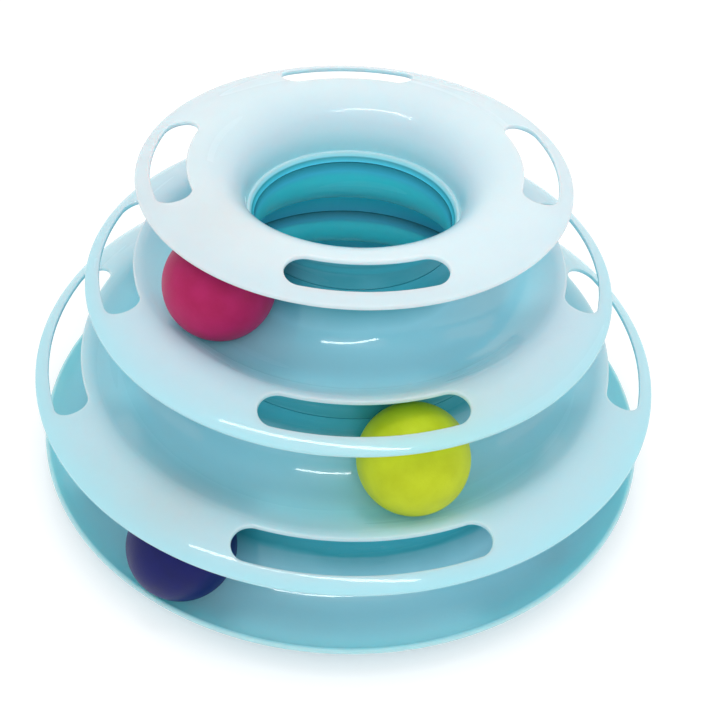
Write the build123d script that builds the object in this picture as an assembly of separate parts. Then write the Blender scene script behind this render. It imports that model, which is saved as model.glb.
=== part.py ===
from build123d import *
from math import asin, atan, cos, degrees, radians, sin, sqrt
import os

# Cat ball track toy: a base tray and three tiers that stack on one hub, with a ball in each track.
# Millimetres and degrees. Origin on the floor, on the axis of the hub. +Z up, front towards -Y.

# Balls, each with the track that it runs in and its angle round the axis from the front, +X positive
BALL_DIAMETER = 40.0
BALL_WALL = 1.6
BALL_LIFT = 0.3
BALL_TRACKS = {"ball_blue": "base", "ball_yellow": "lower", "ball_pink": "middle"}
BALL_ANGLES = {"ball_blue": -36.0, "ball_yellow": 12.7, "ball_pink": -54.3}

# Tracks: radius of the ball's path, growing by one step per tier, and how far a track's floor lies
# below the top of the ball in the track under it
MIDDLE_TRACK_RADIUS = 60.0
TRACK_STEP = 24.0
LOWER_TRACK_DROP = 1.3
MIDDLE_TRACK_DROP = 0.3
HUB_CLEARANCE = 0.8

# Moulded shell of the tiers: wall, the crowned flange outside each track, from its crest to its rim, and
# how steep the ramp up to the crest is, as a share of the steepest point of two arcs without a ramp
WALL = 2.0
FLANGE_OVERHANG = 41.0
FLANGE_WIDTH = 18.6
FLANGE_CROWN_RADIUS = 31.0
LOWER_FLANGE_RISE = 7.6
MIDDLE_FLANGE_RISE = 9.0
RAMP_SHARE = 0.75
BASE_RIM_OVERHANG = 17.7

# Top tier: its rim, the height of its crest above the ball in the middle track, and the ledge at its throat
TOP_RIM_OVERHANG = 18.8
TOP_HEADROOM = 9.7
TOP_CROWN_RADIUS = 44.0
THROAT_FLARE = 0.4
THROAT_LEDGE = 1.0
THROAT_LEDGE_ROUND = 0.4

# Push fit of each neck over the collar below it
HUB_STRAIGHT = 0.2
LAP_LENGTH = 4.0
LAP_GAP = 0.1
LAP_END_GAP = 0.5
NECK_BEVEL = 0.4
NECK_FILLET = 1.5

# Paw slots in the three flanges
SLOT_COUNT = 4
SLOT_WIDTH = 12.8
SLOT_EDGE_MARGIN = 5.5
SLOT_TIP_ANGLE = 46.0
SLOT_EDGE_ROUND = 0.6

# Rubber foot pads in sockets under the base track
PAD_NAMES = ["foot_pad_front_left", "foot_pad_front_right", "foot_pad_back_right", "foot_pad_back_left"]
PAD_FIRST_ANGLE = -45.0
PAD_RADIUS = 7.0
PAD_THICKNESS = 3.0
PAD_RECESS = 0.8
PAD_SIDE_GAP = 0.2
PAD_EDGE_ROUND = 0.6
PAD_SOCKET_RIM = 1.4

# Sizes that follow from those above
FRONT = -90
MATCH_TOLERANCE = 0.01
BALL_RADIUS = BALL_DIAMETER / 2
BALL_TOP = BALL_LIFT + BALL_DIAMETER
CHANNEL_RADIUS = BALL_RADIUS + HUB_CLEARANCE
LAP_WALL = (WALL - LAP_GAP) / 2
TRACK_RADIUS = {
    "base": MIDDLE_TRACK_RADIUS + 2 * TRACK_STEP,
    "lower": MIDDLE_TRACK_RADIUS + TRACK_STEP,
    "middle": MIDDLE_TRACK_RADIUS,
}
TRACK_FLOOR = {"base": PAD_THICKNESS - PAD_RECESS + WALL}
TRACK_FLOOR["lower"] = TRACK_FLOOR["base"] + BALL_TOP - LOWER_TRACK_DROP
TRACK_FLOOR["middle"] = TRACK_FLOOR["lower"] + BALL_TOP - MIDDLE_TRACK_DROP


def hub_radius(track):
    """Outer radius of the hub wall that a track runs round."""
    return TRACK_RADIUS[track] - CHANNEL_RADIUS


def channel_centre(track):
    """Height of the centre of a track's round channel."""
    return TRACK_FLOOR[track] + CHANNEL_RADIUS


def seam_height(track):
    """Height of the ledge on a track's hub where the neck above it rests."""
    return channel_centre(track) + HUB_STRAIGHT


def lap_top(track):
    """Height inside a neck where its thin sleeve ends, just over the collar."""
    return seam_height(track) + LAP_LENGTH + LAP_END_GAP


def place_round(radius, azimuth, height):
    """Position at an azimuth counted from the front, positive towards +X."""
    angle = radians(FRONT + azimuth)
    return Pos(radius * cos(angle), radius * sin(angle), height)


def shell_edges(start, heading, steps, shift):
    """Edges of a smooth path of lines and arcs, moved by shift to its right-hand side.

    Each step is (length, 0) for a line or (radius, turn) for an arc, where a positive turn goes left.
    """
    edges = []
    side = radians(heading - 90)
    point = Vector(start[0] + shift * cos(side), start[1] + shift * sin(side))
    for size, turn in steps:
        direction = Vector(cos(radians(heading)), sin(radians(heading)))
        if turn == 0:
            edge = Line(point, point + direction * size)
        elif turn > 0:
            edge = JernArc(point, direction, size + shift, turn)
        else:
            edge = JernArc(point, direction, size - shift, turn)
        edges.append(edge)
        point = edge @ 1
        heading += turn
    return edges


def shell_outline(start, heading, steps):
    """Both faces of a shell along a path, closed by a half circle at the path's end."""
    upper = shell_edges(start, heading, steps, 0)
    under = shell_edges(start, heading, steps, WALL)
    rim = JernArc(upper[-1] @ 1, upper[-1] % 1, WALL / 2, -180)
    return [*upper, rim, *under]


def section(edges):
    """Face in the XZ plane bounded by edges drawn as radius and height."""
    return Plane.XZ * make_face(edges)


def ring(face):
    """Full turn of a section about the hub's axis."""
    return revolve(face, Axis.Z)


def crown_step(crown_radius):
    """Arc of a crowned flange, from its level crest down to its rounded rim."""
    edge = WALL / 2
    return crown_radius, -degrees(asin((FLANGE_WIDTH - edge) / (crown_radius - edge)))


def track_section(track, steps):
    """Section of a ball track: the hub's collar, the round channel and what lies outside it."""
    outer = hub_radius(track)
    inner = outer - WALL
    seam = seam_height(track)
    collar = Polyline(
        (inner, channel_centre(track)),
        (inner, seam + LAP_LENGTH),
        (inner + LAP_WALL, seam + LAP_LENGTH),
        (inner + LAP_WALL, seam),
        (outer, seam),
        (outer, channel_centre(track)),
    )
    return section([*collar.edges(), *shell_outline((outer, channel_centre(track)), -90, steps)])


def neck_section(track, top):
    """Section of a neck on a track's hub: a thin sleeve round the collar, and the full wall above."""
    outer = hub_radius(track)
    seam = seam_height(track)
    outline = Polyline(
        (outer - NECK_BEVEL, seam),
        (outer, seam + NECK_BEVEL),
        (outer, top),
        (outer - WALL, top),
        (outer - WALL, lap_top(track)),
        (outer - LAP_WALL, lap_top(track)),
        (outer - LAP_WALL, seam),
        close=True,
    )
    return section(outline.edges())


def slot_edges(tier, mid_radius):
    """Upper and lower outlines of the paw slots, found by the radii of the slots' walls."""
    half = SLOT_WIDTH / 2
    wall_radii = [half, mid_radius - half, mid_radius + half]
    edges = []
    for face in tier.faces().filter_by(GeomType.CYLINDER):
        if min(abs(face.radius - radius) for radius in wall_radii) < MATCH_TOLERANCE:
            edges += [edge for edge in face.edges() if edge.geom_type != GeomType.LINE]
    return edges


def cut_slots(tier, rim_radius, crest):
    """Curved paw slots through a flange, with their edges rounded."""
    mid_radius = rim_radius - SLOT_EDGE_MARGIN - SLOT_WIDTH / 2
    half_span = SLOT_TIP_ANGLE / 2 - degrees(asin(SLOT_WIDTH / 2 / mid_radius))
    for index in range(SLOT_COUNT):
        middle = FRONT + index * 360 / SLOT_COUNT
        line = CenterArc((0, 0), mid_radius, middle - half_span, 2 * half_span)
        outline = Pos(0, 0, crest) * SlotArc(line, SLOT_WIDTH)
        tier -= extrude(outline, FLANGE_WIDTH / 2, both=True)
    return fillet(slot_edges(tier, mid_radius), SLOT_EDGE_ROUND)


def flanged_tier(track, below, rise):
    """Tier that carries one track inside a slotted flange and stands on the hub of the track below."""
    crest_reach = FLANGE_OVERHANG - FLANGE_WIDTH
    slope = RAMP_SHARE * 2 * atan(rise / crest_reach)
    both_arcs = (crest_reach * sin(slope) - rise * cos(slope)) / (1 - cos(slope))
    ramp = (crest_reach - both_arcs * sin(slope)) / cos(slope)
    steps = [
        (CHANNEL_RADIUS, 90 + degrees(slope)),
        (ramp, 0),
        (both_arcs - CHANNEL_RADIUS, -degrees(slope)),
        crown_step(FLANGE_CROWN_RADIUS),
    ]
    neck_offset = hub_radius(below) - WALL / 2 - TRACK_RADIUS[track]
    neck_top = channel_centre(track) - sqrt((CHANNEL_RADIUS + WALL / 2) ** 2 - neck_offset**2)
    outline = track_section(track, steps) + neck_section(below, neck_top)
    joint = outline.vertices().filter_by_position(Axis.Z, neck_top - WALL, neck_top + WALL)
    outline = fillet(joint.sort_by(lambda v: abs(v.X - hub_radius(below) + WALL / 2))[:2], NECK_FILLET)
    return cut_slots(ring(outline), TRACK_RADIUS[track] + FLANGE_OVERHANG, TRACK_FLOOR[track] + rise)


def base_tray():
    """Bottom track with an upturned rim, and the sockets for the foot pads under it."""
    floor = TRACK_FLOOR["base"]
    track = TRACK_RADIUS["base"]
    edge = WALL / 2
    climb = degrees(asin((BASE_RIM_OVERHANG - edge) / (CHANNEL_RADIUS + edge)))
    tray = ring(track_section("base", [(CHANNEL_RADIUS, 90 + climb)]))
    mid_wall = Pos(0, 0, channel_centre("base")) * Torus(track, CHANNEL_RADIUS + edge)
    socket_radius = PAD_RADIUS + PAD_SIDE_GAP
    upright = (Align.CENTER, Align.CENTER, Align.MIN)
    for index in range(len(PAD_NAMES)):
        azimuth = PAD_FIRST_ANGLE + index * 360 / len(PAD_NAMES)
        boss = Cylinder(socket_radius + PAD_SOCKET_RIM, CHANNEL_RADIUS / 2, align=upright)
        tray += place_round(track, azimuth, floor - WALL) * boss - mid_wall
        tray -= place_round(track, azimuth, 0) * Cylinder(socket_radius, PAD_THICKNESS, align=upright)
    return tray


def top_tier():
    """Slotted flange round a funnel, whose throat narrows to a neck on the middle hub."""
    outer = hub_radius("middle")
    seam = seam_height("middle")
    rim_radius = TRACK_RADIUS["middle"] + TOP_RIM_OVERHANG
    crest_radius = rim_radius - FLANGE_WIDTH
    crest = TRACK_FLOOR["middle"] + BALL_TOP + TOP_HEADROOM
    throat = outer + THROAT_FLARE
    funnel_radius = crest_radius - throat
    throat_height = crest - funnel_radius
    steps = [(funnel_radius, -90), crown_step(TOP_CROWN_RADIUS)]
    neck = Polyline(
        (throat + WALL, throat_height),
        (outer, lap_top("middle")),
        (outer, seam + NECK_BEVEL),
        (outer - NECK_BEVEL, seam),
        (outer - LAP_WALL, seam),
        (outer - LAP_WALL, lap_top("middle")),
        (outer - WALL, lap_top("middle")),
        (throat - THROAT_LEDGE, throat_height),
        (throat, throat_height),
    )
    outline = section([*neck.edges(), *shell_outline((throat, throat_height), 90, steps)])
    ledge = outline.vertices().sort_by_distance((throat - THROAT_LEDGE, 0, throat_height))[:1]
    return cut_slots(ring(fillet(ledge, THROAT_LEDGE_ROUND)), rim_radius, crest)


def ball(track, azimuth):
    """Hollow ball resting in its track."""
    shell = Sphere(BALL_RADIUS) - Sphere(BALL_RADIUS - BALL_WALL)
    return place_round(TRACK_RADIUS[track], azimuth, TRACK_FLOOR[track] + BALL_LIFT + BALL_RADIUS) * shell


def foot_pad(index):
    """Rubber disc that stands on the floor and fills its socket to the top."""
    pad = Cylinder(PAD_RADIUS, PAD_THICKNESS)
    pad = fillet(pad.edges().group_by(Axis.Z)[0], PAD_EDGE_ROUND)
    azimuth = PAD_FIRST_ANGLE + index * 360 / len(PAD_NAMES)
    return place_round(TRACK_RADIUS["base"], azimuth, PAD_THICKNESS / 2) * pad


nodes = {
    "base_tray": base_tray(),
    "lower_tier": flanged_tier("lower", "base", LOWER_FLANGE_RISE),
    "middle_tier": flanged_tier("middle", "lower", MIDDLE_FLANGE_RISE),
    "top_tier": top_tier(),
}
for name, track_name in BALL_TRACKS.items():
    nodes[name] = ball(track_name, BALL_ANGLES[name])
for pad_index, name in enumerate(PAD_NAMES):
    nodes[name] = foot_pad(pad_index)

os.makedirs("parts", exist_ok=True)
for name, shape in nodes.items():
    export_step(shape, f"parts/{name}.step")
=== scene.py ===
from math import asin, atan, atan2, ceil, copysign, cos, hypot, pi, radians, sin, sqrt

import bmesh
import bpy
from mathutils import Matrix, Vector


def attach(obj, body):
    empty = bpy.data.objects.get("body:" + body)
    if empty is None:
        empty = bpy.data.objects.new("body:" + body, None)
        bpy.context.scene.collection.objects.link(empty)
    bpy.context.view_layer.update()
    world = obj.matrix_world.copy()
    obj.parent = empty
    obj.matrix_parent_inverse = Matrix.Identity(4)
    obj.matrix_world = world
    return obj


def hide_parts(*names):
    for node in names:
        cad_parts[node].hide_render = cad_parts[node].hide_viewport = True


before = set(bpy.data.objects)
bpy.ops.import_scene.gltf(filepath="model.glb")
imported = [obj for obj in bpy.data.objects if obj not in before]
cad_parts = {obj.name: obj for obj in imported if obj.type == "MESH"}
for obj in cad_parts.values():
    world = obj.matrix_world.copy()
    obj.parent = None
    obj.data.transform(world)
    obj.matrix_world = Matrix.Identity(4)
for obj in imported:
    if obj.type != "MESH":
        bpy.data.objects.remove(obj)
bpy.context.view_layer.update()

# Looks of the cat ball track toy: moulded aqua plastic, three satin balls and rubber feet.
# Metres, in the frame of the model: +Z up along the hub, front towards -Y.

# Camera: its place round the hub, and how it is turned
CAMERA_DISTANCE = 0.33883
CAMERA_AZIMUTH = radians(-4.8)
CAMERA_HEIGHT = 0.34322
CAMERA_PAN = radians(-5.802)
CAMERA_PITCH = radians(-42.212)
CAMERA_ROLL = radians(3.629)
CAMERA_LENS = 54.544

# Colours, linear: the shells' painted shade by how deep a point lies in the toy, and two shades of the balls
# and the feet
# Painted shade: pale on the top flange, greyer on lower flanges, deeper teal in the tracks and dark on the
# hub walls; the bright teal at 1 is painted light inside the hub
AQUA_PAINTED_SHADE_TINTS = {
    0.00: (0.66, 0.83, 0.96),
    0.15: (0.55, 0.665, 0.77),
    0.40: (0.38, 0.75, 0.88),
    0.53: (0.31, 0.76, 0.92),
    0.65: (0.035, 0.33, 0.40),
    1.00: (0.10, 0.76, 1.00),
}
BALL_COLOURS = {
    "ball_blue": ((0.001, 0.005, 0.100), (0.004, 0.008, 0.130)),
    "ball_yellow": ((0.510, 0.610, 0.008), (0.580, 0.690, 0.020)),
    "ball_pink": ((0.420, 0.006, 0.095), (0.480, 0.014, 0.130)),
}
RUBBER_PALE = (0.42, 0.47, 0.49)
RUBBER_DARK = (0.34, 0.39, 0.41)

# Plastic of the shells: noise as scale and detail, roughness as a range, bump as distance and strength
CLOUD_NOISE = (28, 3)
CLOUD_STRENGTH = 0.08
FLOW_NOISE = (90, 1)
FLOW_TURN = 0.004
SHELL_ROUGHNESS = (0.24, 0.28)
PEEL_NOISE = (700, 2)
PEEL_BUMP = (0.0004, 0.05)
SHELL_IOR = 1.5
SHELL_SPECULAR = 0.15
SHELL_SCATTER = (0.4, 0.9, 1.0)
SHELL_SCATTER_DEPTH = 0.010

# Gloss of the shells' coat: duller from wear on the flanges than in the tracks
COAT_ROUGHNESS = 0.03
WORN_RECESS = 0.20
WORN_COAT = 0.40
FULL_COAT = 0.80

# Plastic of the balls and rubber of the feet, given in the same way
MOTTLE_NOISE = (140, 4)
BALL_GRAIN_NOISE = (1600, 2)
BALL_GRAIN_BUMP = (0.0003, 0.15)
BALL_ROUGHNESS = (0.42, 0.56)
BALL_IOR = 1.45
BALL_SPECULAR = 0.3
BALL_SCATTER = 0.3
BALL_SCATTER_DEPTH = 0.004
RUBBER_NOISE = (1800, 3)
RUBBER_BUMP = (0.0003, 0.3)
RUBBER_ROUGHNESS = (0.65, 0.85)

# Part of a noise's values that is stretched over a roughness range or between two colours
NOISE_LOW = 0.3
NOISE_HIGH = 0.7

# Light: the point that the softboxes aim at, the glow of the surroundings, and the floor, whose glow fades
# out under the toy as a painted shadow
AIM = Vector((0, 0, 0.08))
WORLD_AMBIENT = 0.78
FLOOR_SIZE = 6.0
FLOOR_ALBEDO = 0.80
FLOOR_GLOW = 0.30
FLOOR_PAINTED_SHADOW_RADIUS = 0.09
FLOOR_PAINTED_SHADOW_END = 0.13

# Sizes of the moulded shells, as in the model
WALL = 0.002
TRACK_RADIUS = {"base": 0.108, "lower": 0.084, "middle": 0.060}
TRACK_FLOOR = {"base": 0.0042, "lower": 0.0432, "middle": 0.0832}
CHANNEL_RADIUS = 0.0208
FLANGE_OVERHANG = 0.041
FLANGE_WIDTH = 0.0186
FLANGE_CROWN_RADIUS = 0.031
FLANGE_RISE = {"base": 0.0074, "lower": 0.0076, "middle": 0.009}
RAMP_SHARE = 0.75
BASE_RIM_OVERHANG = 0.0177
TOP_RIM_RADIUS = 0.0788
TOP_CREST = 0.1332
TOP_CROWN_RADIUS = 0.044
THROAT_FLARE = 0.0004
THROAT_LEDGE = 0.001
LEDGE_EDGE = ((-0.0001, -0.0004), (0.0001, -0.0001), (0.0004, 0.0))
HUB_STRAIGHT = 0.0002
LAP_LENGTH = 0.004
LAP_END_GAP = 0.0005
LAP_WALL = 0.00095
NECK_BEVEL = 0.0004
NECK_FILLET = 0.0015
SLOT_COUNT = 4
SLOT_WIDTH = 0.0128
SLOT_EDGE_MARGIN = 0.0055
SLOT_TIP_ANGLE = radians(46)
SLOT_EDGE_ROUND = 0.0006
SLOT_LAND = 0.003
SLOT_SUPPORT = 0.0004
PAD_COUNT = 4
PAD_TURN = radians(45)
SOCKET_RADIUS = 0.0072
SOCKET_RIM = 0.0014
SOCKET_BEVEL = 0.0003
SOCKET_COVER = 0.0002
FRONT = -pi / 2

# Outer radius of each track's hub, and the height of its seam with the neck above
HUB_RADIUS = {track: radius - CHANNEL_RADIUS for track, radius in TRACK_RADIUS.items()}
SEAM = {track: floor + CHANNEL_RADIUS + HUB_STRAIGHT for track, floor in TRACK_FLOOR.items()}

# Fineness of the meshes
QUARTER_STEPS = 80
SIDE_STEPS = 10
ARC_STEP = radians(4)
RIM_STEPS = 14
ROUND_STEPS = 5
SOCKET_STEPS = 64
LAYER_SHARES = (0.05, 0.12, 0.22, 0.36, 0.54, 0.76)
SHARP_ANGLE = radians(35)
MERGE_DISTANCE = 1e-6

# How deep a point lies inside the toy, which sets how strong its colour is as painted shade: darker on lower
# tiers' flanges, deeper in tracks, on hubs and undersides, and a bright painted teal inside the hub
FLANGE_RECESS = {"base": 0.30, "lower": 0.18, "middle": 0.12, "top": 0.0}
TRACK_RECESS = 0.40
TRACK_DEPTH = 0.0085
FUNNEL_DEPTH = 0.035
HUB_RECESS = 0.65
HUB_POWER = 3
UNDER_RECESS = 0.60
UNDER_REACH = 0.03
SOCKET_RECESS = 0.45
NECK_DROP = 0.0095
NECK_REACH = 0.006

# How far a track is backed by other plastic, from 0 to 1 where no light comes through
TRACK_BACKING = 0.7

# Limits of a normal's share along the radius or the axis, which tell which way a face looks
LOOKS_OUT = 0.5
LOOKS_IN = -0.2
LOOKS_UP = 0.3
LOOKS_DOWN = -0.2


def on_circle(centre, radius, angle):
    """Point in radius and height on a circle about centre."""
    return centre[0] + radius * cos(angle), centre[1] + radius * sin(angle)


def arc(centre, radius, start, end, steps=None):
    """Points in radius and height on an arc about centre, from one angle to another."""
    count = steps or max(2, ceil(abs(end - start) / ARC_STEP))
    return [on_circle(centre, radius, start + (end - start) * i / count) for i in range(count + 1)]


def collar(track):
    """Collar on a track's hub that the neck above fits over, from its inside to the top of the channel."""
    outer = HUB_RADIUS[track]
    inner = outer - WALL
    centre = TRACK_FLOOR[track] + CHANNEL_RADIUS
    seam = SEAM[track]
    return [
        (inner, centre), (inner, seam + LAP_LENGTH), (inner + LAP_WALL, seam + LAP_LENGTH),
        (inner + LAP_WALL, seam), (outer, seam), (outer, centre),
    ]


def sleeve(track):
    """Lower end of a neck round a track's collar, from its outside to its inside."""
    outer = HUB_RADIUS[track]
    seam = SEAM[track]
    top = seam + LAP_LENGTH + LAP_END_GAP
    return [
        (outer, top), (outer, seam + NECK_BEVEL), (outer - NECK_BEVEL, seam), (outer - LAP_WALL, seam),
        (outer - LAP_WALL, top), (outer - WALL, top),
    ]


class Flange:
    """Crowned flange with paw slots: its crest, the arcs on either side of it, and its rim."""

    def __init__(self, crest_radius, crest, inner_arc, crown_arc):
        self.crest_radius = crest_radius
        self.rim = crest_radius + FLANGE_WIDTH
        self.inner_arc = inner_arc
        self.crown_arc = crown_arc
        self.inner_centre = (crest_radius, crest - inner_arc)
        self.crown_centre = (crest_radius, crest - crown_arc)
        self.slot_middle = self.rim - SLOT_EDGE_MARGIN - SLOT_WIDTH / 2
        self.slot_span = SLOT_TIP_ANGLE / 2 - asin(SLOT_WIDTH / 2 / self.slot_middle)
        self.inside = self.slot_middle - SLOT_WIDTH / 2 - SLOT_LAND
        self.outside = self.slot_middle + SLOT_WIDTH / 2 + SLOT_LAND
        self.crown_end = pi / 2 - asin((FLANGE_WIDTH - WALL / 2) / (crown_arc - WALL / 2))

    def height(self, radius, depth):
        """Height of the upper face at a radius, or of the face that lies depth below it."""
        reach = radius - self.crest_radius
        if reach < 0:
            return self.inner_centre[1] + sqrt((self.inner_arc - depth) ** 2 - reach**2)
        return self.crown_centre[1] + sqrt((self.crown_arc - depth) ** 2 - reach**2)

    def inner_face(self, depth, angle):
        """Arc from the slots' inner land towards the hub, which it meets at the given angle."""
        size = self.inner_arc - depth
        start = pi / 2 + asin((self.crest_radius - self.inside) / size)
        return arc(self.inner_centre, size, start, angle)

    def edge(self):
        """Outer edge, from the upper face over the rim to the underside."""
        reach = self.outside - self.crest_radius
        upper = pi / 2 - asin(reach / self.crown_arc)
        under = pi / 2 - asin(reach / (self.crown_arc - WALL))
        rim = on_circle(self.crown_centre, self.crown_arc - WALL / 2, self.crown_end)
        points = arc(self.crown_centre, self.crown_arc, upper, self.crown_end)
        points += arc(rim, WALL / 2, self.crown_end, self.crown_end - pi, RIM_STEPS)[1:-1]
        return points + arc(self.crown_centre, self.crown_arc - WALL, self.crown_end, under)


def flanged_profile(track, below):
    """Flange of a tier, and its section from the underside round the neck and hub to the upper face."""
    rise = FLANGE_RISE[track]
    reach = FLANGE_OVERHANG - FLANGE_WIDTH
    bend = RAMP_SHARE * 2 * atan(rise / reach)
    both_arcs = (reach * sin(bend) - rise * cos(bend)) / (1 - cos(bend))
    inner_arc = both_arcs - CHANNEL_RADIUS
    flange = Flange(TRACK_RADIUS[track] + reach, TRACK_FLOOR[track] + rise, inner_arc, FLANGE_CROWN_RADIUS)
    centre = (TRACK_RADIUS[track], TRACK_FLOOR[track] + CHANNEL_RADIUS)
    under = CHANNEL_RADIUS + WALL
    neck = HUB_RADIUS[below]

    def fillet(wall):
        """Centre of the fillet between a neck's wall and the underside, and its angle about the channel."""
        drop = sqrt((under + NECK_FILLET) ** 2 - (wall - centre[0]) ** 2)
        return (wall, centre[1] - drop), atan2(-drop, wall - centre[0])

    outer, outer_angle = fillet(neck + NECK_FILLET)
    inner, inner_angle = fillet(neck - WALL - NECK_FILLET)
    points = flange.inner_face(WALL, pi / 2 + bend)
    points += arc(centre, under, bend - pi / 2, outer_angle)
    points += arc(outer, NECK_FILLET, outer_angle + pi, pi)[1:]
    points += sleeve(below)
    points += arc(inner, NECK_FILLET, 0, inner_angle + pi)
    points += arc(centre, under, inner_angle, -pi)[1:-1]
    points += collar(track)
    points += arc(centre, CHANNEL_RADIUS, -pi, bend - pi / 2)[1:]
    return flange, points + flange.inner_face(0, pi / 2 + bend)[::-1]


def top_profile():
    """Flange of the top tier, and its section from the underside down the neck and up the funnel."""
    throat = HUB_RADIUS["middle"] + THROAT_FLARE
    crest_radius = TOP_RIM_RADIUS - FLANGE_WIDTH
    funnel = crest_radius - throat
    flange = Flange(crest_radius, TOP_CREST, funnel, TOP_CROWN_RADIUS)
    points = flange.inner_face(WALL, pi)
    points += sleeve("middle")
    points += [(throat - THROAT_LEDGE + out, TOP_CREST - funnel + up) for out, up in LEDGE_EDGE]
    return flange, points + flange.inner_face(0, pi)[::-1]


def base_profile():
    """Closed section of the base tray."""
    centre = (TRACK_RADIUS["base"], TRACK_FLOOR["base"] + CHANNEL_RADIUS)
    middle = CHANNEL_RADIUS + WALL / 2
    climb = asin((BASE_RIM_OVERHANG - WALL / 2) / middle)
    rim = on_circle(centre, middle, climb - pi / 2)
    points = collar("base")
    points += arc(centre, CHANNEL_RADIUS, -pi, climb - pi / 2)[1:]
    points += arc(rim, WALL / 2, climb + pi / 2, climb - pi / 2, RIM_STEPS)[1:-1]
    return points + arc(centre, CHANNEL_RADIUS + WALL, climb - pi / 2, -pi)[:-1]


def turned(angle, radius, height):
    """Place in space, from the angle about the hub, the distance from its axis and the height."""
    return radius * cos(angle), radius * sin(angle), height


def add_rows(mesh, rows):
    """Quads between each closed row of points and the next."""
    loops = [[mesh.verts.new(point) for point in row] for row in rows]
    for near, far in zip(loops, loops[1:]):
        for i in range(len(near)):
            mesh.faces.new((near[i - 1], near[i], far[i], far[i - 1]))


def add_ring(mesh, section):
    """Full turn of a section about the hub."""
    steps = SLOT_COUNT * QUARTER_STEPS
    angles = [FRONT + 2 * pi * i / steps for i in range(steps)]
    add_rows(mesh, [[turned(angle, radius, height) for angle in angles] for radius, height in section])


def sector_border(flange):
    """Points round the stretch of flange that holds one slot, as angles from its middle and radii."""
    half = pi / SLOT_COUNT
    across = [half * (2 * i / QUARTER_STEPS - 1) for i in range(QUARTER_STEPS)]
    along = [(flange.outside - flange.inside) * i / SIDE_STEPS for i in range(SIDE_STEPS)]
    border = [(angle, flange.inside) for angle in across]
    border += [(half, flange.inside + step) for step in along]
    border += [(-angle, flange.outside) for angle in across]
    return border + [(-half, flange.outside - step) for step in along]


def slot_point(flange, border_point, offset):
    """Angle and radius of the point at an offset from a slot's wall that faces a point of the border."""
    angle, radius = border_point
    size = SLOT_WIDTH / 2 + offset
    if abs(angle) <= flange.slot_span:
        return angle, flange.slot_middle + copysign(size, radius - flange.slot_middle)
    past = (pi / SLOT_COUNT - flange.slot_span) * flange.slot_middle
    left = (pi / SLOT_COUNT - abs(angle)) * flange.slot_middle
    along = copysign(left, radius - flange.slot_middle) + radius - flange.slot_middle
    turn = pi / 2 * along / (past + flange.outside - flange.slot_middle)
    x = flange.slot_middle + size * sin(turn)
    y = size * cos(turn)
    return copysign(flange.slot_span + atan2(y, x), angle), hypot(x, y)


def between(near, far, share):
    """Point at a share of the way from one point to another."""
    return near[0] + (far[0] - near[0]) * share, near[1] + (far[1] - near[1]) * share


def face_row(flange, middle, row, depth, lift):
    """Row of points round a slot, lifted from the face of the flange that lies depth below its upper one."""
    return [turned(middle + angle, radius, flange.height(radius, depth) + lift) for angle, radius in row]


def add_slot(mesh, flange, middle):
    """Stretch of flange round one slot, with the slot's wall and rounded edges."""
    border = sector_border(flange)
    beside = [slot_point(flange, point, SLOT_EDGE_ROUND + SLOT_SUPPORT) for point in border]
    rows = []
    for share in (1, *LAYER_SHARES[::-1], 0):
        row = [between(near, far, share) for near, far in zip(beside, border)]
        rows.append((row, 0))
    for step in range(ROUND_STEPS + 1):
        turn = pi / 2 * step / ROUND_STEPS
        offset = SLOT_EDGE_ROUND * (1 - sin(turn))
        row = [slot_point(flange, point, offset) for point in border]
        rows.append((row, SLOT_EDGE_ROUND * (1 - cos(turn))))
    upper = [face_row(flange, middle, row, 0, -drop) for row, drop in rows]
    under = [face_row(flange, middle, row, WALL, drop) for row, drop in rows]
    add_rows(mesh, upper + under[::-1])


def add_socket(mesh, angle):
    """Ring round a foot pad, from the lowest line of the base track up into its wall."""
    x, y, low = turned(angle, TRACK_RADIUS["base"], TRACK_FLOOR["base"] - WALL)
    top = low + WALL - SOCKET_COVER
    outer = SOCKET_RADIUS + SOCKET_RIM
    section = [
        (SOCKET_RADIUS, low), (outer - SOCKET_BEVEL, low), (outer, low + SOCKET_BEVEL), (outer, top),
        (SOCKET_RADIUS, top), (SOCKET_RADIUS, low),
    ]
    turns = [2 * pi * i / SOCKET_STEPS for i in range(SOCKET_STEPS)]
    rows = [[(x + size * cos(t), y + size * sin(t), height) for t in turns] for size, height in section]
    add_rows(mesh, rows)


def in_lap(radius, height):
    """Whether a point lies where a neck laps a collar, so that no light comes through the wall."""
    for track, seam in SEAM.items():
        wall = HUB_RADIUS[track] - WALL / 2
        lap = seam + LAP_LENGTH / 2
        if abs(radius - wall) < WALL and abs(height - lap) < LAP_LENGTH / 2 + 2 * LAP_END_GAP:
            return True
    return False


def track_recess(track, below):
    """What mark_recess needs for a shell with a track, whose neck fits the hub of the track below."""
    crest = TRACK_FLOOR[track] + FLANGE_RISE[track]
    return HUB_RADIUS[below], TRACK_RADIUS[track], crest, TRACK_DEPTH, FLANGE_RECESS[track]


def top_recess():
    """What mark_recess needs for the top tier, which has no track."""
    return HUB_RADIUS["middle"] + THROAT_FLARE, 0, TOP_CREST, FUNNEL_DEPTH, FLANGE_RECESS["top"]


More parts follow.
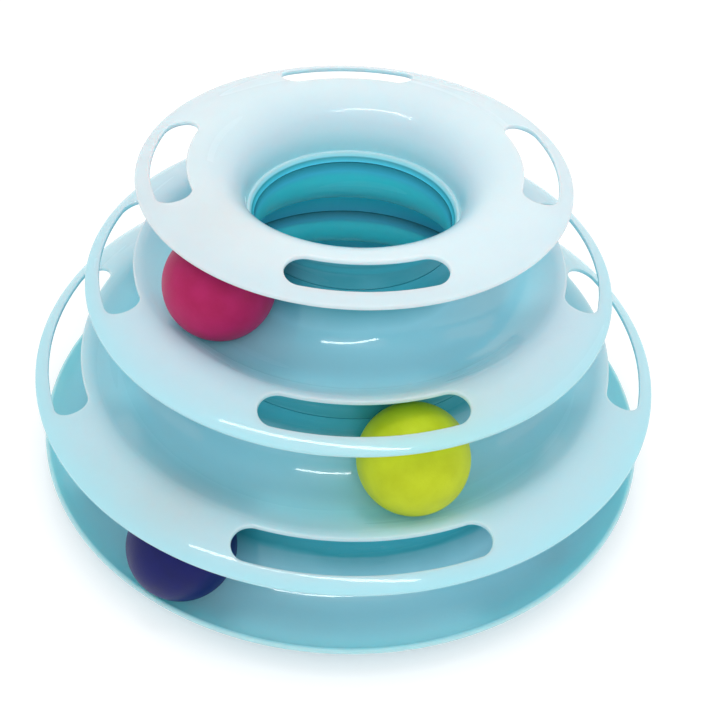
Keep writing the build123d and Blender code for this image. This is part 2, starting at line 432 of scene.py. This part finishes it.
def mark_recess(data, neck_radius, track_radius, crest, depth, least):
    """Stores how deep in the toy each point lies, which sets its painted shade: least on a flange, more in a
    track, 1 inside the hub.
    """
    recess = data.attributes.new("recess", "FLOAT", "POINT")
    backed = data.attributes.new("backed", "FLOAT", "POINT")
    rim = max(hypot(vertex.co.x, vertex.co.y) for vertex in data.vertices)
    for vertex in data.vertices:
        x, y, height = vertex.co
        radius = hypot(x, y)
        facing = vertex.normal
        outward = (facing.x * x + facing.y * y) / radius
        # The value sets painted shade: deeper into the track, up the hub, on the neck and under the flange,
        # and painted light, a bright teal, inside the hub
        share = 1 if radius < track_radius else min(1, max(0, (crest - height) / depth))
        value = least + (TRACK_RECESS - least) * share
        if radius < track_radius:
            up_hub = min(1, (track_radius - radius) / CHANNEL_RADIUS)
            value += (HUB_RECESS - TRACK_RECESS) * up_hub**HUB_POWER
        shade = TRACK_BACKING * share if track_radius else 0
        on_neck = radius < neck_radius + NECK_REACH and height < crest - NECK_DROP
        if on_neck and outward > LOOKS_OUT and facing.z < LOOKS_UP:
            value = HUB_RECESS
            shade = 1
        if facing.z < LOOKS_DOWN:
            shade = min(1, (rim - radius) / UNDER_REACH)
            value = least + (UNDER_RECESS - least) * shade
        inward = facing.z < LOOKS_UP and outward < LOOKS_IN
        if radius < neck_radius - WALL / 2 and (inward or facing.z < LOOKS_DOWN):
            value = 1
            shade = 0
        recess.data[vertex.index].value = value
        backed.data[vertex.index].value = 1 if in_lap(radius, height) else shade


def add_piece(name, mesh, node, body):
    """Piece made from a mesh that stands for a node, smooth except along its sharp edges."""
    bmesh.ops.remove_doubles(mesh, verts=mesh.verts, dist=MERGE_DISTANCE)
    bmesh.ops.recalc_face_normals(mesh, faces=mesh.faces)
    for face in mesh.faces:
        face.smooth = True
    for edge in mesh.edges:
        edge.smooth = edge.calc_face_angle(0) < SHARP_ANGLE
    data = bpy.data.meshes.new(name)
    mesh.to_mesh(data)
    mesh.free()
    piece = bpy.data.objects.new(name, data)
    bpy.context.scene.collection.objects.link(piece)
    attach(piece, body)
    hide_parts(node)
    return piece


def make_shell(node, body, section, recess, flange=None):
    """Moulded shell that stands for a node: a closed turned section, or a section and a slotted flange."""
    mesh = bmesh.new()
    if flange is None:
        add_ring(mesh, [*section, section[0]])
    else:
        add_ring(mesh, section)
        add_ring(mesh, flange.edge())
        for index in range(SLOT_COUNT):
            add_slot(mesh, flange, FRONT + 2 * pi * index / SLOT_COUNT)
    shell = add_piece(node + "_shell", mesh, node, body)
    mark_recess(shell.data, *recess)
    return shell


def make_sockets():
    """Sockets of the foot pads under the base track."""
    mesh = bmesh.new()
    for index in range(PAD_COUNT):
        add_socket(mesh, FRONT + PAD_TURN + 2 * pi * index / PAD_COUNT)
    sockets = add_piece("base_tray_sockets", mesh, "base_tray", "base")
    # The sockets take the underside's painted shade, and pass no light
    for name, value in (("recess", SOCKET_RECESS), ("backed", 1)):
        marks = sockets.data.attributes.new(name, "FLOAT", "POINT")
        marks.data.foreach_set("value", [value] * len(marks.data))
    return sockets


def make_material(name):
    """New node material with only a Principled shader, with its nodes and links."""
    material = bpy.data.materials.new(name)
    material.use_nodes = True
    return material, material.node_tree.nodes, material.node_tree.links


def add_attribute(nodes, name):
    """Value stored on the points of a mesh under a name."""
    attribute = nodes.new("ShaderNodeAttribute")
    attribute.attribute_name = name
    return attribute.outputs["Fac"]


def add_noise(nodes, links, coordinates, scale, detail):
    """Noise texture read at the given coordinates."""
    noise = nodes.new("ShaderNodeTexNoise")
    noise.inputs["Scale"].default_value = scale
    noise.inputs["Detail"].default_value = detail
    links.new(coordinates, noise.inputs["Vector"])
    return noise.outputs["Fac"]


def add_range(nodes, links, value, first, last, low, high):
    """Value that runs from low to high as another runs from first to last."""
    mapper = nodes.new("ShaderNodeMapRange")
    mapper.inputs["From Min"].default_value = first
    mapper.inputs["From Max"].default_value = last
    mapper.inputs["To Min"].default_value = low
    mapper.inputs["To Max"].default_value = high
    links.new(value, mapper.inputs["Value"])
    return mapper.outputs["Result"]


def add_blend(nodes, links, value, first, second):
    """Colour that goes from first to second as a noise value rises."""
    ramp = nodes.new("ShaderNodeValToRGB")
    ramp.color_ramp.elements[0].position = NOISE_LOW
    ramp.color_ramp.elements[0].color = (*first, 1)
    ramp.color_ramp.elements[1].position = NOISE_HIGH
    ramp.color_ramp.elements[1].color = (*second, 1)
    links.new(value, ramp.inputs["Fac"])
    return ramp.outputs["Color"]


def add_bump(nodes, links, height, distance, strength):
    """Bump from a height value."""
    bump = nodes.new("ShaderNodeBump")
    bump.inputs["Distance"].default_value = distance
    bump.inputs["Strength"].default_value = strength
    links.new(height, bump.inputs["Height"])
    return bump.outputs["Normal"]


def ring_coordinates(nodes, links, place):
    """Coordinates that run round the hub: radius, height and a slow turn, so that noise becomes rings."""
    parts = nodes.new("ShaderNodeSeparateXYZ")
    links.new(place, parts.inputs[0])
    flat = nodes.new("ShaderNodeCombineXYZ")
    links.new(parts.outputs["X"], flat.inputs["X"])
    links.new(parts.outputs["Y"], flat.inputs["Y"])
    radius = nodes.new("ShaderNodeVectorMath")
    radius.operation = "LENGTH"
    links.new(flat.outputs[0], radius.inputs[0])
    turn = nodes.new("ShaderNodeMath")
    turn.operation = "ARCTAN2"
    links.new(parts.outputs["Y"], turn.inputs[0])
    links.new(parts.outputs["X"], turn.inputs[1])
    slow = nodes.new("ShaderNodeMath")
    slow.operation = "MULTIPLY"
    slow.inputs[1].default_value = FLOW_TURN
    links.new(turn.outputs[0], slow.inputs[0])
    rings = nodes.new("ShaderNodeCombineXYZ")
    links.new(radius.outputs["Value"], rings.inputs["X"])
    links.new(slow.outputs[0], rings.inputs["Y"])
    links.new(parts.outputs["Z"], rings.inputs["Z"])
    return rings.outputs[0]


def add_painted_shade_tint(nodes, links, recess, clouds):
    """Colour of the shells at a recess, a painted shade that deepens into the tracks and hub, made a little
    uneven by clouds.
    """
    cloudy = nodes.new("ShaderNodeMath")
    cloudy.operation = "MULTIPLY_ADD"
    cloudy.inputs[1].default_value = CLOUD_STRENGTH
    links.new(clouds, cloudy.inputs[0])
    links.new(recess, cloudy.inputs[2])
    tint = nodes.new("ShaderNodeValToRGB")
    stops = tint.color_ramp.elements
    while len(stops) < len(AQUA_PAINTED_SHADE_TINTS):
        stops.new(0.5)
    for stop, (position, colour) in zip(stops, AQUA_PAINTED_SHADE_TINTS.items()):
        stop.position = position
        stop.color = (*colour, 1)
    links.new(cloudy.outputs[0], tint.inputs["Fac"])
    return tint.outputs["Color"]


def aqua_plastic():
    """Glossy moulded plastic, a little see-through, with flow marks round the hub, worn flanges, and shade
    painted into its colour by depth.
    """
    material, nodes, links = make_material("aqua_plastic")
    shader = nodes["Principled BSDF"]
    place = nodes.new("ShaderNodeTexCoord").outputs["Object"]
    recess = add_attribute(nodes, "recess")
    backed = add_attribute(nodes, "backed")
    clouds = add_noise(nodes, links, place, *CLOUD_NOISE)
    flow = add_noise(nodes, links, ring_coordinates(nodes, links, place), *FLOW_NOISE)
    peel = add_noise(nodes, links, place, *PEEL_NOISE)
    roughness = add_range(nodes, links, flow, NOISE_LOW, NOISE_HIGH, *SHELL_ROUGHNESS)
    through = add_range(nodes, links, backed, 0, 1, 1, 0)
    coat = add_range(nodes, links, recess, WORN_RECESS, TRACK_RECESS, WORN_COAT, FULL_COAT)
    # Base colour: painted shade from the recess, deeper teal further into the toy
    links.new(add_painted_shade_tint(nodes, links, recess, clouds), shader.inputs["Base Color"])
    links.new(roughness, shader.inputs["Roughness"])
    links.new(add_bump(nodes, links, peel, *PEEL_BUMP), shader.inputs["Normal"])
    links.new(through, shader.inputs["Subsurface Weight"])
    links.new(coat, shader.inputs["Coat Weight"])
    shader.inputs["IOR"].default_value = SHELL_IOR
    shader.inputs["Specular IOR Level"].default_value = SHELL_SPECULAR
    shader.inputs["Subsurface Radius"].default_value = SHELL_SCATTER
    shader.inputs["Subsurface Scale"].default_value = SHELL_SCATTER_DEPTH
    shader.inputs["Coat Roughness"].default_value = COAT_ROUGHNESS
    return material


def ball_plastic(name, deep, bright):
    """Satin ball with faint mottling and a fine grain."""
    material, nodes, links = make_material(name)
    shader = nodes["Principled BSDF"]
    place = nodes.new("ShaderNodeTexCoord").outputs["Object"]
    mottle = add_noise(nodes, links, place, *MOTTLE_NOISE)
    grain = add_noise(nodes, links, place, *BALL_GRAIN_NOISE)
    roughness = add_range(nodes, links, mottle, NOISE_LOW, NOISE_HIGH, *BALL_ROUGHNESS)
    links.new(add_blend(nodes, links, mottle, deep, bright), shader.inputs["Base Color"])
    links.new(roughness, shader.inputs["Roughness"])
    links.new(add_bump(nodes, links, grain, *BALL_GRAIN_BUMP), shader.inputs["Normal"])
    shader.inputs["IOR"].default_value = BALL_IOR
    shader.inputs["Specular IOR Level"].default_value = BALL_SPECULAR
    shader.inputs["Subsurface Weight"].default_value = BALL_SCATTER
    shader.inputs["Subsurface Radius"].default_value = bright
    shader.inputs["Subsurface Scale"].default_value = BALL_SCATTER_DEPTH
    return material


def foot_rubber():
    """Matte rubber with a fine grain."""
    material, nodes, links = make_material("foot_rubber")
    shader = nodes["Principled BSDF"]
    place = nodes.new("ShaderNodeTexCoord").outputs["Object"]
    grain = add_noise(nodes, links, place, *RUBBER_NOISE)
    roughness = add_range(nodes, links, grain, NOISE_LOW, NOISE_HIGH, *RUBBER_ROUGHNESS)
    links.new(add_blend(nodes, links, grain, RUBBER_DARK, RUBBER_PALE), shader.inputs["Base Color"])
    links.new(roughness, shader.inputs["Roughness"])
    links.new(add_bump(nodes, links, grain, *RUBBER_BUMP), shader.inputs["Normal"])
    return material


def dress(node, material):
    """Gives a node of the model its finished material."""
    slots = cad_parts[node].data.materials
    slots.clear()
    slots.append(material)


def softbox(name, centre, width, height, radiance, diffuse=True, glossy=True):
    """Area lamp aimed at the toy that gives the named radiance over its whole face."""
    data = bpy.data.lights.new(name, "AREA")
    data.shape = "RECTANGLE"
    data.size = width
    data.size_y = height
    data.energy = radiance * pi * width * height
    lamp = bpy.data.objects.new(name, data)
    lamp.location = centre
    lamp.rotation_euler = (AIM - Vector(centre)).to_track_quat("-Z", "Y").to_euler()
    lamp.visible_camera = False
    lamp.visible_diffuse = diffuse
    lamp.visible_glossy = glossy
    bpy.context.scene.collection.objects.link(lamp)


def seen_directly(nodes, links):
    """Value that is 1 for a ray from the camera, a reflection or a clear material, and otherwise 0."""
    path = nodes.new("ShaderNodeLightPath")
    total = path.outputs["Is Camera Ray"]
    for kind in ("Is Glossy Ray", "Is Transmission Ray"):
        either = nodes.new("ShaderNodeMath")
        either.operation = "MAXIMUM"
        links.new(total, either.inputs[0])
        links.new(path.outputs[kind], either.inputs[1])
        total = either.outputs[0]
    return total


def make_world():
    """White surroundings where they show, and a softer glow as light."""
    world = bpy.data.worlds.new("studio")
    world.use_nodes = True
    bpy.context.scene.world = world
    nodes = world.node_tree.nodes
    links = world.node_tree.links
    strength = add_range(nodes, links, seen_directly(nodes, links), 0, 1, WORLD_AMBIENT, 1)
    nodes["Background"].inputs["Color"].default_value = (1, 1, 1, 1)
    links.new(strength, nodes["Background"].inputs["Strength"])


def make_floor():
    """Pale floor that shows white and keeps the toy's soft shadow, darkened more under the toy by a painted
    shadow where its glow fades.
    """
    mesh = bpy.data.meshes.new("floor")
    half = FLOOR_SIZE / 2
    corners = [(-half, -half, 0), (half, -half, 0), (half, half, 0), (-half, half, 0)]
    mesh.from_pydata(corners, [], [(0, 1, 2, 3)])
    floor = bpy.data.objects.new("floor", mesh)
    bpy.context.scene.collection.objects.link(floor)
    material, nodes, links = make_material("pale_floor")
    shader = nodes["Principled BSDF"]
    shader.inputs["Base Color"].default_value = (FLOOR_ALBEDO, FLOOR_ALBEDO, FLOOR_ALBEDO, 1)
    shader.inputs["Roughness"].default_value = 1
    shader.inputs["Specular IOR Level"].default_value = 0
    shader.inputs["Emission Color"].default_value = (1, 1, 1, 1)
    place = nodes.new("ShaderNodeTexCoord").outputs["Object"]
    distance = nodes.new("ShaderNodeVectorMath")
    distance.operation = "LENGTH"
    links.new(place, distance.inputs[0])
    # Painted shadow: the floor's glow fades to nothing under the toy
    clear = nodes.new("ShaderNodeMapRange")
    clear.interpolation_type = "SMOOTHSTEP"
    clear.inputs["From Min"].default_value = FLOOR_PAINTED_SHADOW_RADIUS
    clear.inputs["From Max"].default_value = FLOOR_PAINTED_SHADOW_END
    clear.inputs["To Max"].default_value = FLOOR_GLOW
    links.new(distance.outputs["Value"], clear.inputs["Value"])
    glow = nodes.new("ShaderNodeMath")
    glow.operation = "MULTIPLY"
    links.new(clear.outputs["Result"], glow.inputs[0])
    links.new(seen_directly(nodes, links), glow.inputs[1])
    links.new(glow.outputs[0], shader.inputs["Emission Strength"])
    mesh.materials.append(material)


def make_camera():
    """Camera at the photograph's viewing angle."""
    data = bpy.data.cameras.new("camera")
    data.lens = CAMERA_LENS
    camera = bpy.data.objects.new("camera", data)
    across = CAMERA_DISTANCE * sin(CAMERA_AZIMUTH)
    back = -CAMERA_DISTANCE * cos(CAMERA_AZIMUTH)
    pan = Matrix.Rotation(CAMERA_PAN, 4, "Z")
    pitch = Matrix.Rotation(pi / 2 + CAMERA_PITCH, 4, "X")
    roll = Matrix.Rotation(CAMERA_ROLL, 4, "Z")
    camera.matrix_world = Matrix.Translation((across, back, CAMERA_HEIGHT)) @ pan @ pitch @ roll
    bpy.context.scene.collection.objects.link(camera)
    bpy.context.scene.camera = camera


# Pieces of the toy and their materials
aqua = aqua_plastic()
lower_flange, lower_section = flanged_profile("lower", "base")
middle_flange, middle_section = flanged_profile("middle", "lower")
top_flange, top_section = top_profile()
pieces = [
    make_sockets(),
    make_shell("base_tray", "base", base_profile(), track_recess("base", "base")),
    make_shell("lower_tier", "lower_tier", lower_section, track_recess("lower", "base"), lower_flange),
    make_shell("middle_tier", "middle_tier", middle_section, track_recess("middle", "lower"), middle_flange),
    make_shell("top_tier", "top_tier", top_section, top_recess(), top_flange),
]
for moulded in pieces:
    moulded.data.materials.append(aqua)
for ball_name, (deep_colour, bright_colour) in BALL_COLOURS.items():
    dress(ball_name, ball_plastic(ball_name + "_plastic", deep_colour, bright_colour))
rubber = foot_rubber()
for node_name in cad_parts:
    if node_name.startswith("foot_pad"):
        dress(node_name, rubber)

# Studio
softbox("overhead_softbox", (0, 0, 1.05), width=0.25, height=0.25, radiance=11, glossy=False)
softbox("front_fill", (0, -0.92, 0.98), width=0.4, height=0.4, radiance=5.5, glossy=False)
softbox("front_strip", (-0.17, -0.45, 1.20), width=1.15, height=0.07, radiance=16, diffuse=False)
make_world()
make_floor()
make_camera()
bpy.context.scene.view_settings.view_transform = "Standard"
